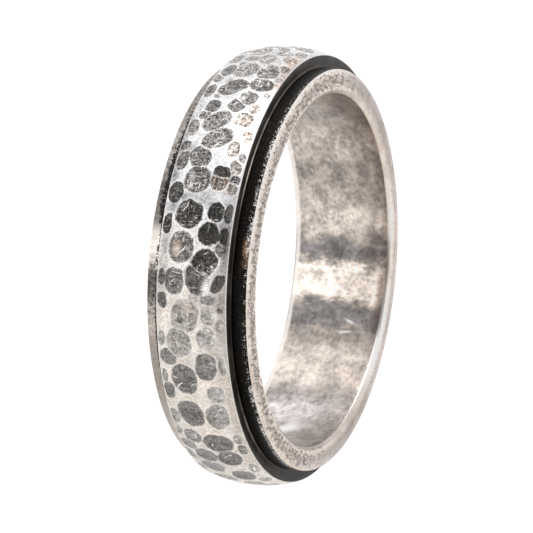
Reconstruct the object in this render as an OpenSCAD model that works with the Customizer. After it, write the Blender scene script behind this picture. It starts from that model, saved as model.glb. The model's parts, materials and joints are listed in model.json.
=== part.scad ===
// Steel ring: a plain inner sleeve with flat rims, and a hammered band that turns freely on it.
// Millimetres. The ring's axis is Z and the ring lies on its back rim at z = 0.
// Angles on the band run about Z from +X, and the band's heights run from its middle.

/* [Finger hole] */
// Diameter of the hole for the finger
finger_d = 19.8; // [15:0.1:23]
// Width of the bright lip round the hole, across the rim
lip_w = 0.45; // [0.2:0.05:0.5]
// Depth of the bright lip, down the hole
lip_h = 0.2; // [0.1:0.05:0.5]

/* [Sleeve] */
// Width of the whole ring along its axis
ring_w = 6; // [5.5:0.1:8]
// Radial thickness of the rims, from the hole to their outer edge
rim_t = 1.35; // [1.3:0.05:1.8]
// Thickness of each rim along the axis
rim_h = 0.9; // [0.6:0.05:1]
// Width of the small bevel on the outer edge of each rim
edge_w = 0.2; // [0.05:0.05:0.3]
// Height of the small bevel on the outer edge of each rim
edge_h = 0.1; // [0.05:0.05:0.2]
// Thickness of the sleeve's wall under the band
wall_t = 0.85; // [0.6:0.05:1]

/* [Hammered band] */
// Thickness of the band at its two edges, from its own hole outwards
band_t = 1.19; // [1:0.01:1.6]
// Rise of the band's domed outside, from its edges to its middle
dome_rise = 0.34; // [0.2:0.02:0.4]
// Radius of the hammer's round face, which shapes every dent
hammer_r = 4; // [3:0.5:6]
// Gap between band and sleeve round the channel's floor
run_gap = 0.06; // [0.04:0.01:0.1]
// Gap between band and rim on each side
side_gap = 0.05; // [0.04:0.01:0.1]

/* [Show] */
// The sub-part to show

/* [Hidden] */
$fn = 96;
hole_r = finger_d / 2;
rim_r = hole_r + rim_t;
floor_r = hole_r + wall_t;
band_in_r = floor_r + run_gap;
edge_r = band_in_r + band_t;
crown_r = edge_r + dome_rise;
half_w = ring_w / 2 - rim_h - side_gap;
// The dome is an arc of this radius, about a circle of radius dome_at round the ring's axis.
dome_r = (half_w * half_w + dome_rise * dome_rise) / (2 * dome_rise);
dome_at = crown_r - dome_r;
// The band is cut from a square that reaches this far past the dome.
spare = 0.01;
// Each dent is cut with a round slug, this much wider than the dent on each side and this high
// above and below its floor.
slug_gap = 0.15;
slug_h = 0.5;

// Columns of the chart of dents: angle round the band in degrees, height from the band's middle
// and diameter.
ANGLE = 0;
HEIGHT = 1;
SIZE = 2;
// The larger dents, read by eye from the side that shows, row by row down the band.
DENTS = [
    [176, -1.2, 1.1], [177, 0.1, 1.3], [176, 1.3, 1.05], [182, 0.9, 1.2], [184, -0.6, 1.45],
    [188, 1.2, 1.15], [189, -1.5, 1.1], [187, 0.2, 0.95], [190.5, -0.5, 0.95], [197, -0.75, 1.45],
    [201.5, 1.5, 0.95], [202.7, -1.6, 1.2], [203.5, 0.35, 1.2], [210.5, 1.0, 1.35],
    [211, -0.3, 1.5], [210.9, -1.35, 1.1], [217.3, 1.15, 1.3], [219.6, -0.3, 1.6],
    [223.3, 0.85, 1.1], [226.7, 0.5, 1.0], [227.1, -0.95, 0.95], [232.7, -0.3, 1.5],
    [237.8, 0.15, 1.4], [243.5, -0.55, 1.3], [244.4, -1.57, 1.0], [248.8, 0.95, 1.2],
    [249.7, -0.35, 1.55], [253.4, -1.5, 1.15], [258, 1.08, 1.1], [259, -0.45, 1.7],
    [261.6, -1.68, 0.95], [263.6, 0.85, 1.3], [267.5, -0.67, 1.7], [271.2, 0.85, 1.5],
    [275.7, 0.45, 1.5], [276.1, 1.6, 0.95], [276.1, -0.9, 1.4], [284.2, 1.1, 1.0],
    [284.8, -0.27, 1.8], [290.4, 0.95, 1.25], [292.1, -0.65, 1.7], [296.4, -1.43, 1.1],
    [298.2, 0.82, 1.5], [302.4, -0.56, 1.8], [306.6, -1.65, 1.0], [306.5, 1.17, 1.1],
    [313.4, -0.58, 1.8], [313.9, 0.97, 1.65], [315.3, -1.67, 0.95], [322.2, -0.97, 1.1],
    [324.2, 0.45, 1.6], [326.5, -1.47, 0.95], [330.6, -0.68, 1.3], [331.4, 0.7, 1.45],
    [337.5, -0.75, 1.3], [342.7, 0.7, 1.4], [346.7, -0.7, 1.35], [351.5, 0.6, 1.2],
    [353.5, -1.55, 1.2],
];
// The side that doesn't show repeats the chart, turned this far and mirrored.
REPEAT_TURN = 181;

module sleeve_profile() {
    polygon([
        [hole_r, lip_h], [hole_r + lip_w, 0], [rim_r - edge_w, 0], [rim_r, edge_h],
        [rim_r, rim_h], [floor_r, rim_h], [floor_r, ring_w - rim_h], [rim_r, ring_w - rim_h],
        [rim_r, ring_w - edge_h], [rim_r - edge_w, ring_w], [hole_r + lip_w, ring_w],
        [hole_r, ring_w - lip_h],
    ]);
}

module sleeve() {
    color("silver") rotate_extrude() sleeve_profile();
}

module band_blank() {
    rotate_extrude() intersection() {
        translate([band_in_r, -half_w]) square([band_t + dome_rise + spare, 2 * half_w]);
        translate([dome_at, 0]) circle(r = dome_r);
    }
}

// How deep the hammer's round face sinks for a dent of this radius, given the dome's own curves.
function dent_depth(r) = r * r / 2 * (1 / hammer_r + 0.5 / dome_r + 0.5 / crown_r);

// The hammer's round face, pressed into the dome, as a slug to cut away.
module dent(angle, height, size) {
    tilt = asin(height / dome_r);
    depth = dent_depth(size / 2);
    rotate([0, 0, angle]) translate([dome_at, 0, 0]) rotate([0, -tilt, 0])
        translate([dome_r - depth, 0, 0]) intersection() {
            translate([hammer_r, 0, 0]) sphere(r = hammer_r);
            rotate([0, 90, 0]) cylinder(r = size / 2 + slug_gap, h = 2 * slug_h, center = true);
        }
}

module hammered_band() {
    color("gray") translate([0, 0, ring_w / 2]) difference() {
        band_blank();
        for (d = DENTS) {
            dent(d[ANGLE], d[HEIGHT], d[SIZE]);
            dent(d[ANGLE] + REPEAT_TURN, -d[HEIGHT], d[SIZE]);
        }
    }
}

sleeve();
hammered_band();
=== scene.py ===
"""Steel spinner ring: a plain sleeve with flat rims, and a hammered band that turns on it.

Lengths are in millimetres until a mesh, light or camera is made, and mm() turns them into metres.
The ring's axis is Z and it lies on the floor at z = 0. Angles run about Z from +X.
"""

import json
import math

import bpy
import numpy as np
from mathutils import Matrix, Vector, noise


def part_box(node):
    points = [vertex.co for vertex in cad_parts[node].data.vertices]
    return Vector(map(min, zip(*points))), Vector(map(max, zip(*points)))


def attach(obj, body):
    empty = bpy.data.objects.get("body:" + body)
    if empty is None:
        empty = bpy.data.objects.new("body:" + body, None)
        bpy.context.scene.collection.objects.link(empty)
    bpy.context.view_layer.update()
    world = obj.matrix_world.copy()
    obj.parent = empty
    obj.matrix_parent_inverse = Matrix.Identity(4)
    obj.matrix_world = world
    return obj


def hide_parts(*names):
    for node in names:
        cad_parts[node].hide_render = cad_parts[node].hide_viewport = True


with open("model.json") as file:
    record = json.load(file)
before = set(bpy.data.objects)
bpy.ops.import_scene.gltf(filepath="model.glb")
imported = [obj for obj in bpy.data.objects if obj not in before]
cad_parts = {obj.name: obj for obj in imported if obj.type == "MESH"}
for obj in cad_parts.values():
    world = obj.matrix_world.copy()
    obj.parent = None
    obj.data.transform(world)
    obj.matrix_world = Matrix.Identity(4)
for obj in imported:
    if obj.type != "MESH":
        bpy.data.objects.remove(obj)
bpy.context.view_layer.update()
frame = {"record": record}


def mm(value):
    return value * 0.001


def box_mm(node):
    low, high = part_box(node)
    return low * 1000, high * 1000


# Sizes of the ring, from the frame where it holds them.
mounts = {m["name"]: m for m in frame["record"]["mounts"]}
HOLE_R = mounts["finger_hole"]["dims"]["r_mm"]
RING_W = box_mm("sleeve")[1].z
RIM_R = box_mm("sleeve")[1].x
MIDDLE = RING_W / 2
HALF_W = MIDDLE - box_mm("hammered_band")[0].z
LIP_W, LIP_H = 0.45, 0.2
EDGE_W, EDGE_H = 0.2, 0.1
RIM_H = 0.9
WALL_T = 0.85
RUN_GAP = 0.06
BAND_T = 1.19
DOME_RISE = 0.34
FLOOR_R = HOLE_R + WALL_T
BAND_IN_R = FLOOR_R + RUN_GAP
BAND_EDGE_R = BAND_IN_R + BAND_T
CROWN_R = BAND_EDGE_R + DOME_RISE
DOME_R = (HALF_W ** 2 + DOME_RISE ** 2) / (2 * DOME_RISE)
DOME_AT = CROWN_R - DOME_R

# The photograph's view of the ring, as a distance, angles in degrees and a focal length in its pixels.
PHOTO_PX = 533
CAMERA_AWAY = 270.5
CAMERA_ELEVATION = 22.63
CAMERA_YAW = 0.02
CAMERA_PITCH = 0.47
CAMERA_ROLL = 95.27
FOCAL_PX = 4804
SENSOR_MM = 36


def add_object(name, data):
    obj = bpy.data.objects.new(name, data)
    bpy.context.scene.collection.objects.link(obj)
    return obj


def make_camera():
    """The camera stands on the -Y side, and is rolled so that the ring's axis points to the right."""
    tilt = math.radians(CAMERA_ELEVATION)
    place = Vector((0, -math.cos(tilt), math.sin(tilt))) * CAMERA_AWAY
    ahead = -place.normalized()
    right = Vector((1, 0, 0))
    up = right.cross(ahead)
    yaw, pitch = math.radians(CAMERA_YAW), math.radians(CAMERA_PITCH)
    ahead = (ahead + right * math.tan(yaw) + up * math.tan(pitch)).normalized()
    right = ahead.cross(up).normalized()
    up = right.cross(ahead)
    c, s = math.cos(math.radians(CAMERA_ROLL)), math.sin(math.radians(CAMERA_ROLL))
    right, up = right * c + up * s, up * c - right * s
    data = bpy.data.cameras.new("photo_view")
    data.sensor_width = SENSOR_MM
    data.lens = FOCAL_PX * SENSOR_MM / PHOTO_PX
    data.clip_start, data.clip_end = 0.01, 20
    camera = add_object("photo_view", data)
    turn = Matrix((right, up, -ahead)).transposed().to_4x4()
    camera.matrix_world = Matrix.Translation(mm(place)) @ turn
    bpy.context.scene.camera = camera


make_camera()

# The hammered band's dents, read off the side that shows. Most of those up to 245 degrees
# and past 321 were then made larger and a little paler, by the same factors along each of the two
# stretches, and rounded. The columns are the angle round the band, the height from its middle, the
# width along the axis, the length round the band, the turn of that length towards the axis in
# degrees, how dark the dent is, and how brown.
DENTS = [
    (176, -1.2, 0.95, 1.5, 10, 0.45, 0), (177, 0.1, 1.4, 1.5, 5, 0.35, 0),
    (176, 1.3, 1.05, 1.3, 0, 0.35, 0), (182, -1.8, 0.6, 1.3, 0, 0.4, 0),
    (182, 0.9, 1.3, 1.4, 10, 0.3, 0), (184, -0.6, 1.5, 1.75, 10, 0.3, 0),
    (188, 1.2, 1.15, 1.4, 15, 0.35, 0), (189, -1.5, 0.95, 1.5, 10, 0.3, 0),
    (187, 0.2, 0.95, 1.2, 15, 0.3, 0), (193, 0.4, 0.75, 1.2, 20, 0.45, 0),
    (190.5, -0.5, 1.05, 1.1, 15, 0.3, 0), (195, 1.6, 0.65, 1.3, 5, 0.3, 0),
    (197.5, 0.85, 0.95, 1.1, 0, 0.2, 0), (197, -0.75, 1.65, 1.85, 15, 0.15, 0),
    (195.5, -1.75, 0.6, 1.1, 0, 0.3, 0), (201.5, 1.5, 0.9, 1.1, 0, 0.05, 0.2),
    (202.7, -1.6, 0.9, 1.75, 15, 0.4, 0), (203.5, 0.35, 1.05, 1.6, 0, 0.1, 0),
    (203.7, -0.55, 1.0, 0.75, 0, 0.35, 0), (207.4, 1.65, 0.6, 0.9, 0, 0.45, 0),
    (207.8, -0.78, 0.45, 0.55, 0, 0.7, 0), (210.5, 1.0, 1.3, 1.75, 0, 0.55, 0),
    (211, -0.3, 1.45, 1.85, 0, 0.4, 0), (210.9, -1.35, 0.95, 1.5, 10, 0.7, 0),
    (214.6, -1.65, 0.75, 1.1, 30, 0.4, 0), (217.1, 1.12, 1.4, 1.3, 0, 0.85, 0),
    (219.6, -0.4, 1.35, 1.95, -50, 0.65, 0), (221.8, -0.95, 0.6, 1.1, 10, 0.5, 0),
    (220.6, -1.65, 0.75, 1.25, 5, 0.65, 0), (221.1, 1.72, 0.4, 0.5, 0, 0.45, 0),
    (223.3, 0.85, 1.15, 1.25, 0, 0.7, 0), (226.4, 0.44, 1.05, 1.05, -40, 0.7, 0),
    (226.7, 1.42, 0.75, 0.85, 0, 0.6, 0.6), (227.1, -0.95, 1.0, 1.1, -10, 0.75, 0),
    (229.9, -1.2, 0.7, 0.85, -10, 0.65, 0), (230.9, 1.15, 1.1, 1.1, -20, 0.6, 0.5),
    (232.3, -0.34, 1.3, 1.85, -52, 0.6, 0.1), (234.2, -1.6, 0.75, 1.25, 10, 0.45, 0),
    (236, 1.7, 0.65, 0.85, 0, 0.55, 0.7), (237.9, 0.08, 1.25, 1.95, -60, 0.65, 0.15),
    (240.4, 1.2, 0.7, 1.1, 0, 0.35, 0.3), (240.3, -1.65, 0.65, 0.85, 0, 0.65, 0),
    (243.5, -0.55, 1.35, 1.5, 30, 0.7, 0), (244.4, -1.57, 0.75, 1.4, 0, 0.65, 0),
    (242.8, 1.75, 0.55, 0.65, 0, 0.65, 0), (245.4, 1.6, 0.65, 1.0, 0, 0.5, 0.5),
    (247.4, 0.95, 1.05, 0.85, 0, 0.95, 0), (250, 0.92, 1.0, 1.0, 0, 0.7, 0.7),
    (249, 1.72, 0.55, 0.55, 0, 0.85, 0), (251.4, 1.7, 0.5, 0.85, 0, 0.5, 0.5),
    (249.7, -0.37, 1.65, 1.65, 0, 0.8, 0), (253.4, -1.5, 1.0, 1.3, 0, 0.95, 0),
    (258, 1.75, 0.45, 1.2, 0, 0.85, 0), (258, 1.08, 0.95, 1.2, 0, 0.98, 0),
    (259, -0.45, 1.7, 1.65, -20, 0.97, 0), (261.6, -1.68, 0.65, 1.25, 0, 0.95, 0),
    (263.6, 0.85, 1.25, 1.4, 10, 0.98, 0), (264.2, 1.7, 0.5, 1.15, 0, 0.95, 0),
    # The rows at 267.3 and 280.4 degrees are shallow grey clouds on the ridges: painted shade.
    (267.3, 1.6, 0.6, 0.8, 0, 0.45, 0), (267.5, -0.67, 1.6, 1.85, 0, 0.68, 0.1),
    (271.2, 0.77, 1.5, 1.8, -35, 0.95, 0), (275.3, 0.38, 1.4, 1.85, 35, 0.85, 0),
    (276.1, 1.6, 0.65, 1.2, -25, 0.85, 0), (276.1, -0.9, 1.3, 1.55, 0, 0.76, 0),
    (275.3, -1.74, 0.45, 1.0, 0, 0.75, 0), (280.4, 1.1, 1.0, 0.55, 0, 0.4, 0),
    (281.3, -1.65, 0.7, 0.95, 0, 0.8, 0), (282.9, 1.73, 0.3, 0.4, 0, 0.75, 0),
    (284.2, 1.1, 0.85, 1.1, 0, 0.08, 0), (287.1, 1.75, 0.45, 0.9, 0, 0.25, 0.3),
    (284.8, -0.27, 1.7, 1.95, -10, 0.38, 0.2), (290.4, 0.95, 1.1, 1.35, 0, 0.2, 0),
    (291.7, -1.75, 0.5, 1.0, 0, 0.45, 0), (292.1, -0.65, 1.6, 1.75, 15, 0.5, 0.1),
    (296.4, -1.43, 1.1, 1.05, 0, 0.7, 0), (298.2, 0.82, 1.3, 1.75, -5, 0.65, 0),
    (298.1, 1.73, 0.4, 1.2, 0, 0.5, 0), (302.4, -0.56, 1.65, 1.95, 0, 0.75, 0),
    (302.3, -1.77, 0.45, 0.85, 0, 0.5, 0), (306.6, -1.65, 0.8, 1.2, 0, 0.7, 0),
    (306.5, 1.17, 1.0, 1.15, 0, 0.2, 0), (313.4, -0.58, 1.65, 2.0, 0, 0.75, 0),
    (313.9, 0.97, 1.35, 1.95, -5, 0.5, 0), (315.3, -1.67, 0.7, 1.15, 0, 0.5, 0),
    (321.2, -1.77, 0.45, 0.9, -10, 0.4, 0), (322.2, -0.97, 1.1, 1.3, -10, 0.6, 0),
    (322.6, 1.65, 0.6, 0.95, 0, 0.35, 0), (324.2, 0.45, 1.8, 1.7, 0, 0.75, 0),
    (326.5, -1.47, 0.95, 1.1, 0, 0.5, 0), (327.3, 1.67, 0.55, 1.05, 0, 0.55, 0),
    (330.6, -0.68, 1.4, 1.45, -20, 0.65, 0), (331.4, 0.7, 1.45, 1.75, -15, 0.75, 0),
    (331.9, -1.73, 0.5, 1.2, 0, 0.3, 0), (337.5, -0.75, 1.5, 1.45, -30, 0.55, 0),
    (337.7, 1.65, 0.55, 1.25, 0, 0.4, 0), (340.5, -1.65, 0.55, 1.1, -10, 0.35, 0),
    (342.7, 0.7, 1.35, 1.75, 0, 0.7, 0), (346.7, -0.7, 1.45, 1.55, -20, 0.5, 0),
    (347.4, 1.6, 0.75, 1.1, 0, 0.45, 0), (351.5, 0.6, 1.25, 1.45, 0, 0.4, 0),
    (353.5, -1.55, 0.85, 1.85, -10, 0.5, 0),
]
# Scratches and flecks on the band, with painted glints on the dents' inner edges among them. The
# columns are the angle round the band, the height from its middle, the length, the width, the turn
# of the length towards the axis in degrees, and how bright.
SCRATCHES_AND_GLINTS = [
    (211.4, 0.8, 0.35, 0.07, 75, 0.8), (213.2, 0.65, 0.3, 0.07, 80, 0.6),
    (208.5, 0.6, 0.5, 0.08, -20, 0.5), (222.3, 1.15, 0.1, 0.05, 0, 0.6),
    (224.5, 0.95, 0.22, 0.05, -50, 0.6), (225.6, 0.28, 0.4, 0.06, -25, 0.5),
    (231.5, -0.03, 0.14, 0.08, 0, 0.9), (233.1, -0.1, 0.14, 0.09, 0, 0.9),
    (232.2, 0.3, 0.5, 0.06, 5, 0.7), (230.4, 0.12, 0.4, 0.06, 15, 0.6),
    (231.5, 1.3, 0.4, 0.1, -20, 0.8), (230.3, 0.95, 0.35, 0.09, -30, 0.8),
    (239.7, 0.12, 0.5, 0.09, -15, 0.9), (236.8, 0.45, 0.2, 0.07, 20, 0.7),
    (238.7, 0.35, 0.14, 0.07, 0, 0.7), (240.2, -0.1, 0.3, 0.06, -40, 0.6),
    (249.7, 0.08, 0.32, 0.06, 90, 0.9), (250.5, 0.12, 0.26, 0.05, 90, 0.8),
    (251.2, 0.05, 0.3, 0.05, 85, 0.8), (251.6, -0.2, 0.5, 0.06, 0, 0.9),
    (250.9, -0.42, 0.3, 0.05, 90, 0.7), (252.4, -0.35, 0.3, 0.06, 5, 0.6),
    (252.3, 0.05, 0.22, 0.05, 90, 0.6), (259.8, -0.03, 0.26, 0.07, 90, 0.8),
    (260.9, -0.3, 0.35, 0.05, 85, 0.6), (261.8, -0.3, 0.3, 0.05, 90, 0.5),
    (257.6, -0.8, 0.6, 0.07, -42, 0.8), (256.9, -0.97, 0.5, 0.05, -42, 0.6),
    (256.2, -0.62, 0.35, 0.07, -15, 0.8), (262, -0.75, 0.3, 0.05, 80, 0.5),
    (261.6, 0.1, 0.25, 0.05, 90, 0.5), (259.9, 1.15, 0.3, 0.05, 90, 0.7),
    (260.3, 0.85, 0.22, 0.12, 20, 0.9), (266.1, 1.15, 0.25, 0.05, 90, 0.6),
    (266.6, 0.95, 0.3, 0.05, 90, 0.5), (268.5, -0.67, 1.1, 0.08, -43, 1.0),
    (268.6, 0.8, 0.42, 0.07, -55, 0.8), (271.8, 1.17, 0.18, 0.14, 0, 0.8),
    (271.7, 0.5, 0.14, 0.08, 0, 0.7), (272.4, 0.4, 0.22, 0.06, 60, 0.6),
    (273, 1.0, 0.22, 0.07, 45, 0.6), (274.1, -0.68, 0.35, 0.06, 90, 0.7),
    (276.2, -0.52, 0.16, 0.1, 0, 0.7), (276.2, -1.06, 0.45, 0.06, -45, 0.9),
    (277.1, -1.18, 0.35, 0.06, 80, 0.8), (275.1, -1.2, 0.3, 0.06, 90, 0.6),
    (273.9, -1.0, 0.4, 0.06, 85, 0.7), (277.6, -0.68, 0.22, 0.06, 0, 0.6),
    (284.6, -0.1, 0.28, 0.12, 0, 0.6), (285.0, -0.78, 0.22, 0.12, 0, 0.6),
    (291.1, -0.97, 0.4, 0.06, 30, 0.6), (291.9, -0.85, 0.55, 0.06, 42, 0.7),
    (293.1, -0.77, 0.4, 0.07, 35, 0.6), (294.4, -0.92, 0.3, 0.07, 0, 0.6),
    (291.7, -0.03, 0.22, 0.07, -20, 0.7), (293.9, -0.03, 0.18, 0.07, 0, 0.6),
    (293.4, -1.64, 0.5, 0.07, -50, 0.8), (294.5, -1.72, 0.5, 0.07, -42, 0.8),
    (299.2, -0.6, 0.25, 0.06, 20, 0.6), (297.4, 1.15, 0.5, 0.07, 90, 0.5),
    (297.8, 1.42, 0.5, 0.07, -8, 0.5), (302.4, -1.14, 0.35, 0.07, 78, 0.8),
    (304.3, -0.9, 0.45, 0.07, -60, 0.9), (305.1, -1.05, 0.3, 0.06, -60, 0.7),
    (303.5, 0.1, 0.22, 0.08, 60, 0.7), (304, -0.15, 0.28, 0.07, -60, 0.7),
    (311.7, 1.17, 0.42, 0.08, -60, 0.8), (314.1, 0.82, 0.3, 0.08, -50, 0.7),
    (313.1, 0.98, 0.32, 0.07, -45, 0.6), (312.2, 0.48, 0.16, 0.08, 0, 0.7),
    (322.8, -0.82, 0.38, 0.09, -20, 0.95), (321.9, -0.97, 0.28, 0.08, 50, 0.8),
    (321, -0.73, 0.3, 0.08, -30, 0.5), (322.6, 1.57, 0.38, 0.1, 25, 0.9),
    (325.5, 0.02, 0.32, 0.1, -15, 0.8), (327.2, 1.6, 0.3, 0.08, 30, 0.5),
    (330.5, 0.73, 0.38, 0.1, -62, 0.9), (331.3, 0.42, 0.28, 0.09, -40, 0.8),
    (335.9, -0.73, 0.46, 0.1, -52, 0.95), (338.4, 1.62, 0.65, 0.13, -6, 0.95),
]
# Stains and rubbed places, with painted shade and painted highlights among them, which fade out from
# their middle: the long dark strips along the band's edges are painted shade, and the strong light
# oval at 276.9 degrees is a painted highlight on a dent's wall. The columns are the same but for the
# last: how much darker they are, or lighter where it is below 0.
STAINS_AND_PAINTED_LIGHT = [
    (201, 0.2, 8.5, 8, 0, 0.3), (205, 0.25, 1.3, 0.9, 0, -0.3), (209, 1.15, 0.7, 0.45, 0, 0.5),
    (209.8, -1.35, 0.8, 0.5, 10, 0.35), (211.3, 0.6, 0.45, 0.4, 0, 0.6), (212, 1.95, 6, 1.2, 0, 0.42),
    (213, 0.75, 1.0, 0.6, 0, 0.4), (214.5, 1.75, 2.2, 0.8, 0, 0.35), (217, -0.75, 1.1, 0.7, 0, 0.5),
    (217.2, 1.4, 0.9, 0.5, 0, 0.4), (217.6, -0.6, 0.6, 0.5, 0, 0.35),
    (217.8, -0.25, 1.0, 1.5, 10, 0.45), (221, 1.75, 1.2, 0.7, 0, 0.4),
    (222, 0.5, 0.9, 0.45, -40, 0.7), (225, 0.22, 1.0, 0.7, 0, 0.4), (225.1, 0.66, 0.6, 0.5, 0, 0.6),
    (226.6, -0.8, 0.6, 0.5, 0, 0.3), (228.6, -1.08, 0.5, 0.4, 0, 0.5),
    (231.3, -0.4, 0.5, 0.4, 0, 0.35), (232, -1.95, 12, 1.0, 0, 0.2), (232.9, 0.1, 0.8, 0.5, 0, 0.45),
    (237.4, 0.65, 0.8, 0.45, 0, 0.35), (241, -1.25, 1.1, 0.7, 0, 0.5), (242, -1.95, 6, 1.0, 0, 0.45),
    (243, -0.75, 0.9, 0.7, 30, 0.2), (248.2, 1.48, 1.6, 0.6, 0, 0.4), (249, -1.75, 1.1, 0.7, 0, 0.5),
    (249, -0.75, 1.0, 0.6, 0, -0.5), (249, 0.5, 1.1, 1.2, 0, 0.45), (251.3, 0.05, 1.0, 1.0, 0, 0.5),
    (251.7, -0.75, 0.6, 0.4, 0, -0.6), (252.6, -0.55, 0.4, 0.6, 0, 0.4),
    (254.3, -0.6, 1.1, 3.0, 0, 0.35), (254.8, -0.95, 0.7, 0.6, 0, 0.4),
    (254.9, 0.4, 1.4, 1.5, 0, 0.5), (257, -1.5, 1.3, 1.3, 0, 0.6), (257, 0.75, 1.0, 0.7, 0, 0.5),
    (262, 1.65, 3.6, 1.6, 0, 0.5), (262.6, -1.15, 0.9, 0.4, 35, -0.5),
    (264.2, -0.05, 0.9, 0.35, -60, -0.7), (265, 1.8, 2.5, 0.7, 0, 0.4),
    (266, -0.25, 0.8, 0.6, 30, 0.35), (266.5, -1.6, 2.2, 1.0, 0, 0.4),
    (267.7, -0.98, 1.35, 0.75, 0, -0.6), (268.5, 1.85, 3.4, 0.6, 0, 0.45),
    (269, 0.6, 1.0, 0.7, 0, 0.3), (269.6, -0.2, 1.0, 0.9, -40, 0.6),
    (272.7, 0.08, 1.0, 0.5, -60, 0.9), (273, 1.3, 0.8, 0.5, 0, -0.4),
    (273.6, 0.82, 0.7, 0.25, 68, -0.7), (274.4, -0.85, 0.35, 0.9, 0, 0.6),
    (274.6, -0.28, 2.2, 0.22, -4, -0.7), (275, -1.7, 4.6, 1.3, 0, 0.5),
    (275.6, -1.15, 0.35, 0.6, 0, 0.55), (276, 1.75, 1.1, 0.6, 0, 0.4),
    (276.9, 0.93, 1.45, 0.75, -14, -1.2), (277.5, -0.9, 0.4, 0.8, 0, 0.5),
    (280, 0.3, 1.1, 1.3, 0, 0.5), (281, 1.4, 1.6, 1.1, 0, 0.2), (281.9, -0.2, 1.0, 1.2, 0, -0.4),
    (285, 1.75, 1.3, 0.7, 0, -0.4), (285.2, -0.55, 0.9, 0.6, 0, 0.35),
    (286.3, 1.12, 0.35, 0.7, 0, 0.7), (286.5, -0.55, 0.4, 0.7, 0, 0.95),
    (288, 0.05, 0.8, 0.7, 0, 0.35), (288.3, -1.4, 1.5, 0.5, 0, -0.6), (293, 1.75, 1.7, 0.8, 0, -0.5),
    (293, -1.25, 1.1, 0.6, 0, -0.4), (296, 1.9, 6, 1.1, 0, -0.4), (296, 0.2, 3.5, 0.5, 0, -0.3),
    (297, 0.9, 0.9, 0.6, 0, 0.25), (303, -0.45, 1.2, 0.8, 0, 0.4), (309, 0.3, 2.5, 1.2, 0, -0.25),
    (314.5, -0.5, 1.4, 0.8, -10, 0.4), (317, -1.75, 1.2, 0.7, 0, 0.4), (318, -1.4, 2.2, 1.2, 0, -0.2),
    (319, 1.3, 2.2, 1.4, 0, -0.25), (324.5, 0.7, 1.0, 0.7, 0, 0.3), (329, -1.9, 8, 0.9, 0, 0.25),
    (331.8, -0.85, 0.8, 0.7, 0, 0.4), (333, -1.5, 1.3, 1.3, 0, 0.45), (334, 0.1, 2.5, 1.5, 0, 0.12),
    (341, 0, 9, 7, 0, 0.25),
]
# Places with a warm brown tint, in the same columns.
BROWNS = [
    (204, 1.75, 5, 1.5, 0, 0.8), (214, 1.95, 5, 1.0, 0, 1.1), (230.9, 1.15, 0.9, 0.8, 0, 0.5),
    (236, 1.7, 1.0, 0.6, 0, 0.5), (267.9, -0.98, 1.7, 1.0, 0, 1.3), (282.5, -0.1, 1.3, 1.0, 0, 0.4),
    (292.5, -0.95, 1.3, 0.7, 20, 0.4), (318, -0.2, 6, 3, 0, 0.15),
]
# The side that doesn't show repeats the charts, turned this far and mirrored in height.
REPEAT_TURN = 181
# The radius of the hammer's round face, and how far from its middle a dent is looked for.
HAMMER_R = 4
DENT_REACH = 1.7
# The dents are oval where this is 2, and squarer where it is more.
SQUARISH = 2.3
# How far the dents' outlines wander, and the size of their bends.
WANDER = 0.07
BEND_SIZE = 0.5
# The crest between two dents is rubbed bright where their depths differ by less than the second of
# these, and fully so below the first.
CREST_TOP = 0.002
CREST_FOOT = 0.035
# A point reads a scratch, fleck or painted glint up to this far from it. Further off it has the second
# number as its place.
SCRATCH_AND_GLINT_REACH = 0.2
FAR_OFF = 99.0
# The small worn bevel on the band's edges.
CORNER = 0.04

# Fineness of the meshes: steps round the ring, then steps across each part of the outlines.
TURN_STEPS = 1240
DOME_STEPS = 60
FLANK_STEPS = 4
BORE_STEPS = 2
RIM_STEPS = 9
LIP_STEPS = 6
BEVEL_STEPS = 3
WALL_STEPS = 8
GROOVE_STEPS = 3
FLOOR_STEPS = 2
HOLE_STEPS = 8
# Edges that turn by more than this many degrees stay sharp.
BAND_CREASE = 40
SLEEVE_CREASE = 20


def both_sides(rows):
    """A chart's rows with their mirrored repeats on the side that doesn't show."""
    return rows + [(angle + REPEAT_TURN, -height, across, along, -turn, *rest)
                   for angle, height, across, along, turn, *rest in rows]


def from_row(along, across, angle, height, turn):
    """Points seen from a chart row's place, in millimetres along its turned length and across it."""
    circle = 2 * math.pi * CROWN_R
    s = (along - CROWN_R * math.radians(angle) + circle / 2) % circle - circle / 2
    z = across - height
    c, d = math.cos(math.radians(turn)), math.sin(math.radians(turn))
    return s * c + z * d, z * c - s * d


def wander(points, seed):
    """How far an outline wanders at each of the points (an N by 3 array in millimetres)."""
    shift = Vector((seed * 13.1, seed * 7.7, seed * 3.3))
    return WANDER * np.array([noise.fractal(Vector(p) / BEND_SIZE + shift, 1, 2, 2) for p in points])


def smooth_step(values, low, high):
    t = np.clip((values - low) / (high - low), 0, 1)
    return t * t * (3 - 2 * t)


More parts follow.
